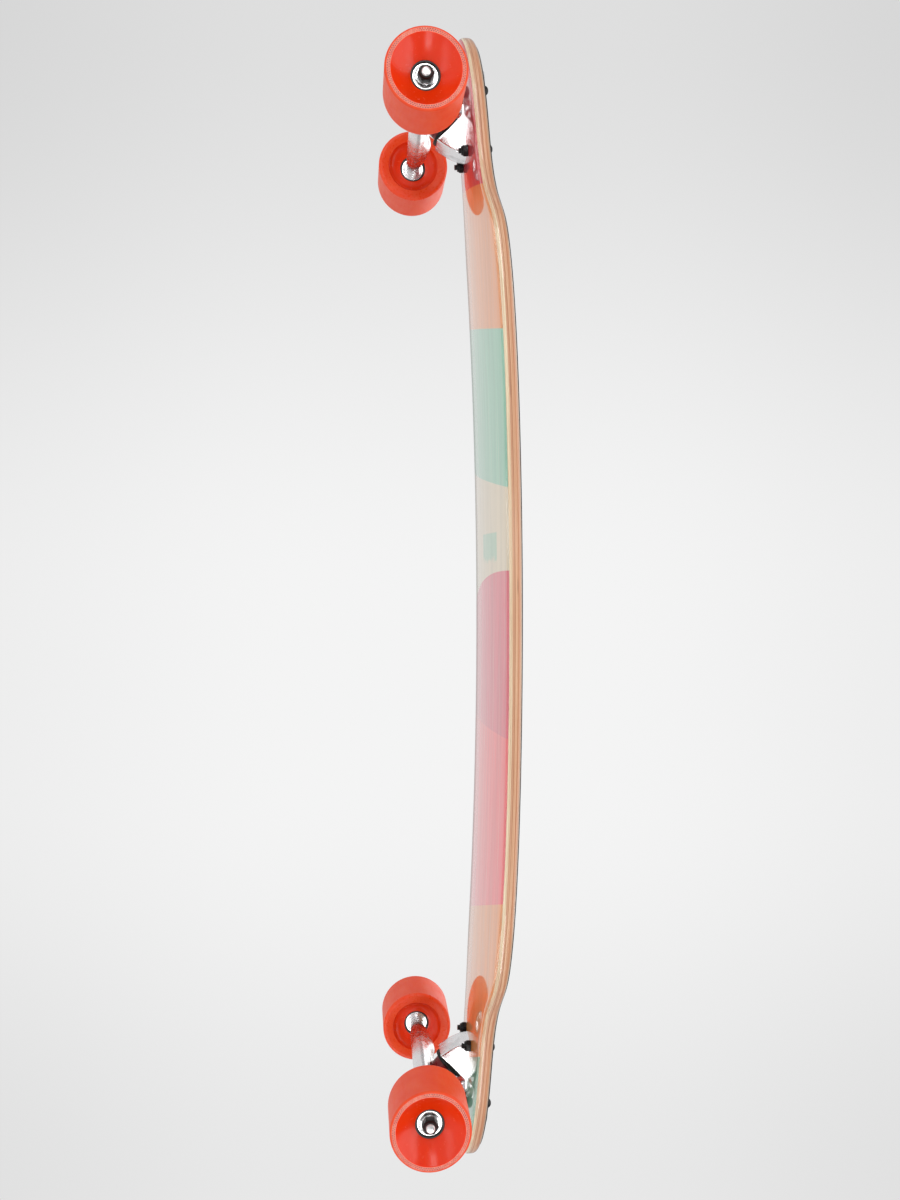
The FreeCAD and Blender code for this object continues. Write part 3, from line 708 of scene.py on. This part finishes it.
def build_deck():
    outline, normals = deck_outline()
    openings = []
    plates = []
    for end in (1, -1):
        centre = end * box_centre("front_truck_bolts").x
        openings.append(rounded_rectangle(end * (AXLE.x + SLOT_CENTRE), *SLOT))
        for along in (-1, 1):
            for across in (-1, 1):
                openings.append(circle(centre + along * BOLT_SPACING[0] / 2, across * BOLT_SPACING[1] / 2,
                                       BOLT_HOLE))
        plates.append(rounded_rectangle(centre, PLATE_HIGH.x - PLATE_LOW.x + 2 * MM,
                                        PLATE_HIGH.y - PLATE_LOW.y + 2 * MM, 9 * MM))
    plan = fill_plan(outline, openings)
    names = ("bottom_veneer", "lower_ply", "core_ply", "upper_ply", "top_veneer")
    finishes = ("veneer", "cream", "tan", "amber", "beige")
    low = 0.0
    for i, node in enumerate(PLY_NODES):
        high = low + PLY_THICKNESS[i]
        levels = rail_levels(low, high)
        insets = [rail_inset(level) for level in levels]
        points, faces, heights, sharp, seams = build_sheet(plan, normals, levels, insets)
        if i > 0:
            sharp += seams[0]
        if i < len(PLY_NODES) - 1:
            sharp += seams[1]
        make_piece(names[i], points, faces, [finishes[i]], "deck", [node], level=heights,
                   sharp=sharp)
        low = high
    grip_plan = fill_plan(outline + normals * RAIL_RADIUS, plates)
    levels = [DECK_THICKNESS, DECK_THICKNESS + 0.8 * GRIP_THICKNESS, DECK_THICKNESS + GRIP_THICKNESS]
    points, faces, heights, sharp, seams = build_sheet(grip_plan, normals, levels, [0.0, 0.0, 0.2 * MM])
    make_piece("grip_sheet", points, faces, ["grip"], "deck", ["grip_tape"], level=heights,
               sharp=sharp + seams[0])


# ---- wheels, each about its own middle, with its outer face towards +Y on the left and -Y on the right

INNER_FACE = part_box("front_left_tyre")[0].y
OUTER_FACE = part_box("front_left_tyre")[1].y
BEARING_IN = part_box("front_left_bearing_outer_rings")[0].y
BEARING_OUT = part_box("front_left_bearing_outer_rings")[1].y
BEARING_WIDTH = 7 * MM

# Radii and lengths for the turned profiles, in millimetres
WHEEL_RADIUS = AXLE.z / MM
BEARING_RADIUS = 11.0
OUTER_RING_BORE = 9.3
INNER_RING_RADIUS = 6.1
BEARING_BORE = 4.0
SHIELD_FACE = 0.9          # from a bearing's face to the inside of its shield
HUB_RADIUS = 12.8
HUB_SEAT = BEARING_RADIUS + 0.02
HUB_PROUD = 1.3            # how far the hub stands past a bearing's face
DISH_PROUD = 1.6           # and the dish's foot, which meets it
RIB_RADIUS = 17.5          # the rib that keys the hub into the urethane
RIB_FOOT = 3.0
RIB_TOP = 4.5


def hub_rib():
    """The rib's outline, from its inboard foot to its outboard foot."""
    first, last = BEARING_IN / MM, BEARING_OUT / MM
    return [(HUB_RADIUS, first + RIB_FOOT), (RIB_RADIUS, first + RIB_TOP), (RIB_RADIUS, last - RIB_TOP),
            (HUB_RADIUS, last - RIB_FOOT)]


def tyre_profile():
    """(radius, y) points and, for each stretch between them, its finish."""
    out, inn = OUTER_FACE / MM, INNER_FACE / MM
    foot = (HUB_RADIUS, BEARING_IN / MM - DISH_PROUD)
    outer_foot = (HUB_RADIUS, BEARING_OUT / MM + DISH_PROUD)
    profile = [foot]
    zones = []

    def line(points, zone):
        for point in points:
            profile.append(point)
            zones.append(zone)

    line(arc_through(foot, (20.5, inn + 7.6), (24.6, inn + 2.7), 14), 0)
    line([(24.75, inn + 2.42), (25.0, inn + 2.2)], 0)
    line([(25.6, inn + 2.02), (31.9, inn + 0.2)], 2)
    line(arc_through((31.9, inn + 0.2), (WHEEL_RADIUS - 0.8, inn + 1.1), (WHEEL_RADIUS, inn + 3.5), 8), 2)
    line([(WHEEL_RADIUS, inn + 3.9 + i * (out - inn - 6.0) / 12) for i in range(13)], 1)
    line(arc_through((WHEEL_RADIUS, out - 2.1), (WHEEL_RADIUS - 0.5, out - 0.55), (33.2, out), 8), 1)
    line([(32.6, out), (30.3, out), (29.9, out - 0.03)], 3)
    line([(29.62, out - 0.14), (29.4, out - 0.36)], 0)
    line(arc_through((29.4, out - 0.36), (20.6, out - 8.3), outer_foot, 18), 0)
    line(hub_rib()[::-1] + [foot], 0)
    profile.pop()
    return profile, zones


def side_points(points, side, middle):
    """Turned points moved to be about the wheel's middle, mirrored for the right side."""
    return [Vector((point.x, (point.y - middle) * side, point.z)) for point in points]


def facing(faces, side):
    return faces if side > 0 else [tuple(reversed(face)) for face in faces]


def scaled(profile):
    return [(radius * MM, distance * MM) for radius, distance in profile]


def moved(profile, start):
    return [(radius, start + distance) for radius, distance in profile]


def bearing_ring(outside, inside, rounding):
    """Section of one ring of the bearing that starts at 0."""
    width = BEARING_WIDTH / MM
    return rounded([(outside, 0.0), (outside, width), (inside, width), (inside, 0.0)], rounding)


def shield_profile():
    """Section of a pressed shield, from its inner face outwards."""
    bore = INNER_RING_RADIUS + 0.06
    return rounded([(OUTER_RING_BORE, 0.0), (OUTER_RING_BORE, 0.4), (8.9, 0.4), (8.6, 0.22), (6.9, 0.22),
                    (6.6, 0.36), (bore, 0.36), (bore, 0.0)], 0.12, 2)


def bearing_starts():
    first = BEARING_IN / MM
    return (first, BEARING_OUT / MM - BEARING_WIDTH / MM)


def all_shields(profile):
    """Both shields of both bearings, dished side outwards."""
    parts = []
    for start in bearing_starts():
        near = [(radius, start + SHIELD_FACE - depth) for radius, depth in profile]
        end = start + BEARING_WIDTH / MM
        far = [(radius, end - SHIELD_FACE + depth) for radius, depth in profile]
        parts.append(lathe(scaled(near)[::-1], segments=96))
        parts.append(lathe(scaled(far), segments=96))
    return joined(parts)


def hub_profile():
    """The hub's section: its sleeve, its rib, and the wall between the two bearing seats."""
    first, last = BEARING_IN / MM, BEARING_OUT / MM
    wall_start = first + BEARING_WIDTH / MM
    wall_end = last - BEARING_WIDTH / MM
    corners = [(HUB_RADIUS, first - HUB_PROUD, 0.5)]
    corners += [(radius, distance, 0.1) for radius, distance in hub_rib()]
    corners += [
        (HUB_RADIUS, last + HUB_PROUD, 0.5), (11.5, last + HUB_PROUD, 0.4), (HUB_SEAT, last + 0.6, 0.3),
        (HUB_SEAT, wall_end, 0.05), (OUTER_RING_BORE, wall_end, 0.1),
        (OUTER_RING_BORE, wall_start, 0.1), (HUB_SEAT, wall_start, 0.05),
        (HUB_SEAT, first - 0.6, 0.3), (11.5, first - HUB_PROUD, 0.4),
    ]
    return rounded(corners, 0.3)


def build_wheel(end_name, end, side_name, side):
    prefix = f"{end_name}_{side_name}_"
    body = f"{end_name}_{side_name}_wheel"
    middle = (INNER_FACE + OUTER_FACE) / 2
    centre = Vector((end * AXLE.x, side * middle, AXLE.z))

    def turned(name, parts, materials, node, indices=None):
        points, faces = parts
        points = side_points(points, side, middle)
        faces = facing(faces, side)
        make_piece(prefix + name, points, faces, materials, body, [prefix + node], centre, indices)

    profile, zones = tyre_profile()
    points, faces = lathe(scaled(profile), segments=160)
    indices = [zones[i % len(profile)] for i in range(len(faces))]
    finishes = ["dish", "tread", "shoulder", "lip"]
    turned("urethane", (points, faces), finishes, "tyre", indices)
    # The hub's near-black face round each bearing is partly painted shade, standing in for the shadow in
    # the gap at the bearing seat
    turned("hub", lathe(scaled(hub_profile())), ["hub"], "core")
    section = bearing_ring(BEARING_RADIUS, OUTER_RING_BORE, 0.35)
    rings = [lathe(scaled(moved(section, start)), segments=96) for start in bearing_starts()]
    turned("bearing_rings", joined(rings), ["bearing"], "bearing_outer_rings")
    turned("shields", all_shields(shield_profile()), ["bearing"], "bearing_shields")


# ---- axles, bearings' inner rings and washers

def threaded_rod(half, radius, pitch, thread_length, segments=48):
    """Axle with a rolled thread at both ends, about the origin along Y."""
    steps_per_turn = 6
    depth = 0.45 * pitch
    point_length = 0.9 * MM
    point_slope = 0.8
    thread_start = half - thread_length
    rows = [(0.0, 0.0), (thread_start, 0.0)]
    for i in range(1, int(thread_length / (pitch / steps_per_turn)) + 1):
        rows.append((thread_start + i * pitch / steps_per_turn, 1.0))
    stations = [(-y, cut) for y, cut in reversed(rows[1:])] + rows
    points = []
    for y, cut in stations:
        taper = max(abs(y) - (half - point_length), 0.0) * point_slope
        for i in range(segments):
            turn = 2 * math.pi * i / segments
            phase = (abs(y) / pitch - i / segments) % 1.0
            reach = radius - abs(2 * phase - 1) * depth * cut - taper
            points.append((reach * math.cos(turn), y, reach * math.sin(turn)))
    faces = []
    for row in range(len(stations) - 1):
        for i in range(segments):
            j = (i + 1) % segments
            here, beside = row * segments + i, row * segments + j
            faces.append((here, here + segments, beside + segments, beside))
    faces.append(tuple(range(segments)))
    last = (len(stations) - 1) * segments
    faces.append(tuple(last + i for i in reversed(range(segments))))
    return points, faces


def on_both_sides(profile, starts, segments):
    """The same (radius, y) ring at each start on the left, then mirrored on the right."""
    rings = []
    for side in (1, -1):
        for start in starts:
            points, faces = lathe(scaled(moved(profile, start)), segments=segments)
            rings.append((side_points(points, side, 0), facing(faces, side)))
    return joined(rings)


def build_axle_hardware(end_name, end):
    centre = Vector((end * AXLE.x, 0, AXLE.z))

    def on_axle(name, parts, finish, node):
        points, faces = parts
        make_piece(f"{end_name}_{name}", points, faces, [finish], end_name + "_hanger_body",
                   [f"{end_name}_{node}"], centre)

    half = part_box("front_axle")[1].y
    rod = threaded_rod(half, radius=3.95 * MM, pitch=1.06 * MM, thread_length=17 * MM)
    on_axle("axle_rod", rod, "steel", "axle")
    section = bearing_ring(INNER_RING_RADIUS, BEARING_BORE, 0.3)
    inner_rings = on_both_sides(section, bearing_starts(), 96)
    on_axle("inner_rings", inner_rings, "bearing", "bearing_inner_rings")
    thickness = 1.2
    washer = rounded([(5.6, 0), (5.6, thickness), (4.02, thickness), (4.02, 0)], 0.25)
    washers = on_both_sides(washer, (BEARING_IN / MM - thickness, BEARING_OUT / MM), 72)
    on_axle("thin_washers", washers, "steel", "speed_washers")


# ---- bushings and cup washer on the kingpin, in millimetres from the ring's middle along the kingpin

RING_S = 20.0           # along the steering axis from the axle to the ring
RING_FACE = 4.5         # from the ring's middle to the seat of each bushing
BUSHING_RADIUS = 12.0
BOARDSIDE_HEIGHT = 13.5
ROADSIDE_HEIGHT = 13.0
CONE_END_RADIUS = 9.0
BUSHING_BORE = 4.9
BULGE = 0.35            # how far the barrel bushing swells
WASHER_PLATE = 1.6


def kingpin_frame(end):
    """Ring centre and the kingpin's direction, outboard and down."""
    steer = Vector((math.cos(STEER_TILT), 0, math.sin(STEER_TILT)))
    king = Vector((math.sin(STEER_TILT), 0, -math.cos(STEER_TILT)))
    centre = Vector((AXLE.x, 0, AXLE.z)) + steer * RING_S * MM
    if end < 0:
        centre.x, king.x = -centre.x, -king.x
    return centre, king


def barrel_profile():
    """The boardside bushing: rounded rims and a swollen side."""
    near = -RING_FACE
    far = near - BOARDSIDE_HEIGHT
    rim = 1.2
    profile = [(BUSHING_BORE, near), (BUSHING_BORE, far), (10.8, far), (11.7, far + 0.4),
               (BUSHING_RADIUS, far + rim)]
    for i in range(1, 8):
        share = i / 8
        profile.append((BUSHING_RADIUS + BULGE * math.sin(math.pi * share) - 0.1,
                        far + rim + share * (BOARDSIDE_HEIGHT - 2 * rim)))
    return profile + [(BUSHING_RADIUS, near - rim), (11.7, near - 0.4), (10.8, near)]


def cone_profile():
    """The roadside bushing."""
    far = RING_FACE + ROADSIDE_HEIGHT
    return rounded([(BUSHING_BORE, RING_FACE), (BUSHING_RADIUS, RING_FACE), (CONE_END_RADIUS, far),
                    (BUSHING_BORE, far)], 0.8)


def washer_profile():
    """The cup washer, its cup towards the bushing."""
    profile = [(BUSHING_BORE, 0.0), (14.2, 0.0), (15.5, 0.45), (16.0, 1.6), (16.0, 3.1), (15.75, 3.4),
               (14.9, 3.4), (14.6, 3.1), (14.4, 2.2), (13.6, WASHER_PLATE), (BUSHING_BORE, WASHER_PLATE)]
    return moved(rounded(profile, 0.25, 2), -(RING_FACE + BOARDSIDE_HEIGHT) - WASHER_PLATE)


def build_bushings(end_name, end):
    centre, king = kingpin_frame(end)
    across = Vector((0, 1, 0))

    def on_kingpin(profile, segments):
        points, faces = lathe(scaled(profile), king, across, segments)
        return [centre + point for point in points], faces

    for name, profile, near, height in (
            ("boardside", barrel_profile()[::-1], -RING_FACE, -BOARDSIDE_HEIGHT),
            ("roadside", cone_profile(), RING_FACE, ROADSIDE_HEIGHT),
    ):
        points, faces = on_kingpin(profile, 96)
        piece = make_piece(f"{end_name}_{name}_cushion", points, faces, ["bushing"], None,
                           [f"{end_name}_{name}_bushing"])
        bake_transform(piece)
    points, faces = on_kingpin(washer_profile(), 120)
    make_piece(end_name + "_cup_washer", points, faces, ["black_steel"], "deck",
               [end_name + "_boardside_washer"])


# ---- CAD nodes that keep their own shape

def weld(node):
    modifier = node.modifiers.new("join_split_points", "WELD")
    modifier.merge_threshold = 0.004 * MM


def soften_casting(node, voxel, rounds):
    """Cast look: every corner and junction takes a small radius."""
    weld(node)
    remesh = node.modifiers.new("even_skin", "REMESH")
    remesh.mode = "VOXEL"
    remesh.voxel_size = voxel
    remesh.use_smooth_shade = True
    smooth = node.modifiers.new("cast_radii", "SMOOTH")
    smooth.factor = 0.5
    smooth.iterations = rounds


def break_edges(node, width):
    """Turned or pressed parts: a small bevel along each edge."""
    weld(node)
    bevel = node.modifiers.new("broken_edges", "BEVEL")
    bevel.width = width
    bevel.segments = 2
    bevel.limit_method = "ANGLE"
    bevel.angle_limit = math.radians(35)
    bevel.harden_normals = True


def dress_node(name, key):
    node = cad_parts[name]
    node.data.materials.clear()
    node.data.materials.append(MATERIALS[key])
    return node


def dress_cad_nodes():
    for end_name in ("front", "rear"):
        soften_casting(dress_node(end_name + "_hanger", "alloy"), 0.75 * MM, 6)
        soften_casting(dress_node(end_name + "_baseplate", "alloy"), 0.6 * MM, 5)
        for name, key, width in (
                ("pivot_cup", "cup", 0.3 * MM),
                ("kingpin", "black_steel", 0.3 * MM),
                ("kingpin_nut", "black_steel", 0.3 * MM),
                ("roadside_washer", "black_steel", 0.3 * MM),
                ("truck_bolts", "black_steel", 0.2 * MM),
                ("lock_nuts", "black_steel", 0.2 * MM),
                ("axle_nuts", "black_steel", 0.3 * MM),
                ("bearing_spacers", "steel", 0.2 * MM),
        ):
            break_edges(dress_node(f"{end_name}_{name}", key), width)


# ---- studio

CAMERA_PLACE = Vector((27.6, 1016.0, -24.6)) * MM
CAMERA_AIM = Vector((2.3, 0.0, 64.1)) * MM      # close to the board's middle
CAMERA_ROLL = math.radians(0.206)      # from the nose pointing straight up in the picture
CAMERA_LENS = 31.95


def add_camera():
    data = bpy.data.cameras.new("camera")
    data.lens = CAMERA_LENS
    data.sensor_width = 36.0
    data.clip_start = 0.01
    camera = bpy.data.objects.new("camera", data)
    back = (CAMERA_PLACE - CAMERA_AIM).normalized()
    nose = Vector((1, 0, 0))
    level_up = (nose - back * nose.dot(back)).normalized()
    up = level_up * math.cos(CAMERA_ROLL) + level_up.cross(back) * math.sin(CAMERA_ROLL)
    turn = Matrix((up.cross(back), up, back)).transposed()
    camera.matrix_world = Matrix.Translation(CAMERA_PLACE) @ turn.to_4x4()
    bpy.context.scene.collection.objects.link(camera)
    bpy.context.scene.camera = camera


def add_softbox(name, place, target, size, size_y, radiance):
    data = bpy.data.lights.new(name, "AREA")
    data.shape = "RECTANGLE"
    data.size = size
    data.size_y = size_y
    data.energy = radiance * math.pi * size * size_y
    lamp = bpy.data.objects.new(name, data)
    lamp.location = place
    lamp.rotation_mode = "QUATERNION"
    lamp.rotation_quaternion = (Vector(place) - Vector(target)).to_track_quat("Z", "Y")
    lamp.visible_camera = False
    bpy.context.scene.collection.objects.link(lamp)


def add_lights():
    for side in (1, -1):
        add_softbox(f"end_{side}", (side * 1.12, 1.13, -0.04), (side * 0.45, 0.06, 0.06), 0.62, 0.42, 4.6)
    add_softbox("key", (0.0, 1.0, 1.25), (0.0, 0.1, 0.05), 1.7, 0.35, 1.6)
    add_softbox("below", (0.0, 1.0, -1.2), (0.0, 0.1, 0.05), 1.7, 0.35, 1.3)
    add_softbox("sparkle", (0.1, 1.25, 0.2), (0.0, 0.1, 0.05), 0.12, 0.12, 14.0)
    add_softbox("overhead", (0.0, 0.3, 1.7), (0.0, 0.0, 0.0), 2.4, 1.8, 1.4)
    add_softbox("back", (0.0, -1.6, 0.9), (0.0, 0.0, 0.05), 2.0, 0.8, 1.1)


def add_floor():
    """Pale floor for the camera alone, so light still comes up from below. It fades into the backdrop."""
    material, wire, inputs = new_material("floor_finish")
    x, y, _ = wire.place()
    wire.put(inputs["Base Color"], paint(236, 236, 236))
    wire.put(inputs["Roughness"], 0.9)
    tree = material.node_tree
    geometry = wire.node("ShaderNodeNewGeometry")
    distance = wire.radius(x, y)
    seen = wire.node("ShaderNodeLightPath").outputs["Is Camera Ray"]
    fade = wire.calc("MAXIMUM", wire.ramp(distance, 0.9, 2.2), geometry.outputs["Backfacing"])
    fade = wire.calc("MAXIMUM", fade, wire.calc("SUBTRACT", 1.0, seen))
    clear = wire.node("ShaderNodeBsdfTransparent")
    blend = wire.node("ShaderNodeMixShader")
    output = next(node for node in tree.nodes if node.type == "OUTPUT_MATERIAL")
    shader = next(node for node in tree.nodes if node.type == "BSDF_PRINCIPLED")
    wire.put(blend.inputs[0], fade)
    tree.links.new(shader.outputs[0], blend.inputs[1])
    tree.links.new(clear.outputs[0], blend.inputs[2])
    tree.links.new(blend.outputs[0], output.inputs["Surface"])
    mesh = bpy.data.meshes.new("floor")
    reach = 3.0
    mesh.from_pydata([(-reach, -reach, 0), (reach, -reach, 0), (reach, reach, 0), (-reach, reach, 0)], [],
                     [(0, 1, 2, 3)])
    mesh.materials.append(material)
    floor = bpy.data.objects.new("floor", mesh)
    bpy.context.scene.collection.objects.link(floor)


def add_world():
    """Camera rays see a pale backdrop with painted light fall-off: lighter in the middle, darker towards
    the top, bottom and sides. Other rays see a soft dome.
    """
    world = bpy.data.worlds.new("studio")
    bpy.context.scene.world = world
    world.use_nodes = True
    tree = world.node_tree
    tree.nodes.clear()
    wire = Wiring(tree)
    place = wire.node("ShaderNodeTexCoord")
    window = wire.node("ShaderNodeSeparateXYZ")
    wire.put(window.inputs[0], place.outputs["Window"])
    u, v = window.outputs[0], window.outputs[1]
    # Painted light fall-off on the backdrop: darker towards the top, bottom and sides
    above = wire.ramp(v, 0.5, 1.0, 0.0, 0.17)
    below = wire.ramp(v, 0.35, 0.0, 0.0, 0.1)
    edge = wire.ramp(wire.calc("ABSOLUTE", wire.add(u, -0.5)), 0.15, 0.6, 0.0, 0.06)
    grey = wire.calc("SUBTRACT", 0.905, wire.add(wire.add(above, below), edge))
    backdrop = wire.node("ShaderNodeBackground")
    wire.put(backdrop.inputs["Color"], wire.vector(grey, grey, grey))
    way = wire.node("ShaderNodeSeparateXYZ")
    wire.put(way.inputs[0], place.outputs["Generated"])
    glow = wire.ramp(way.outputs[2], 0.02, -0.06, 0.48, 0.8)
    dome = wire.node("ShaderNodeBackground")
    wire.put(dome.inputs["Color"], wire.vector(glow, glow, glow))
    path = wire.node("ShaderNodeLightPath")
    blend = wire.node("ShaderNodeMixShader")
    wire.put(blend.inputs[0], path.outputs["Is Camera Ray"])
    tree.links.new(dome.outputs[0], blend.inputs[1])
    tree.links.new(backdrop.outputs[0], blend.inputs[2])
    output = wire.node("ShaderNodeOutputWorld")
    tree.links.new(blend.outputs[0], output.inputs["Surface"])


build_deck()
for end_name, end in ENDS:
    for side_name, side in SIDES:
        build_wheel(end_name, end, side_name, side)
    build_axle_hardware(end_name, end)
    build_bushings(end_name, end)
dress_cad_nodes()
add_camera()
add_lights()
add_floor()
add_world()
bpy.context.scene.view_settings.view_transform = "Standard"
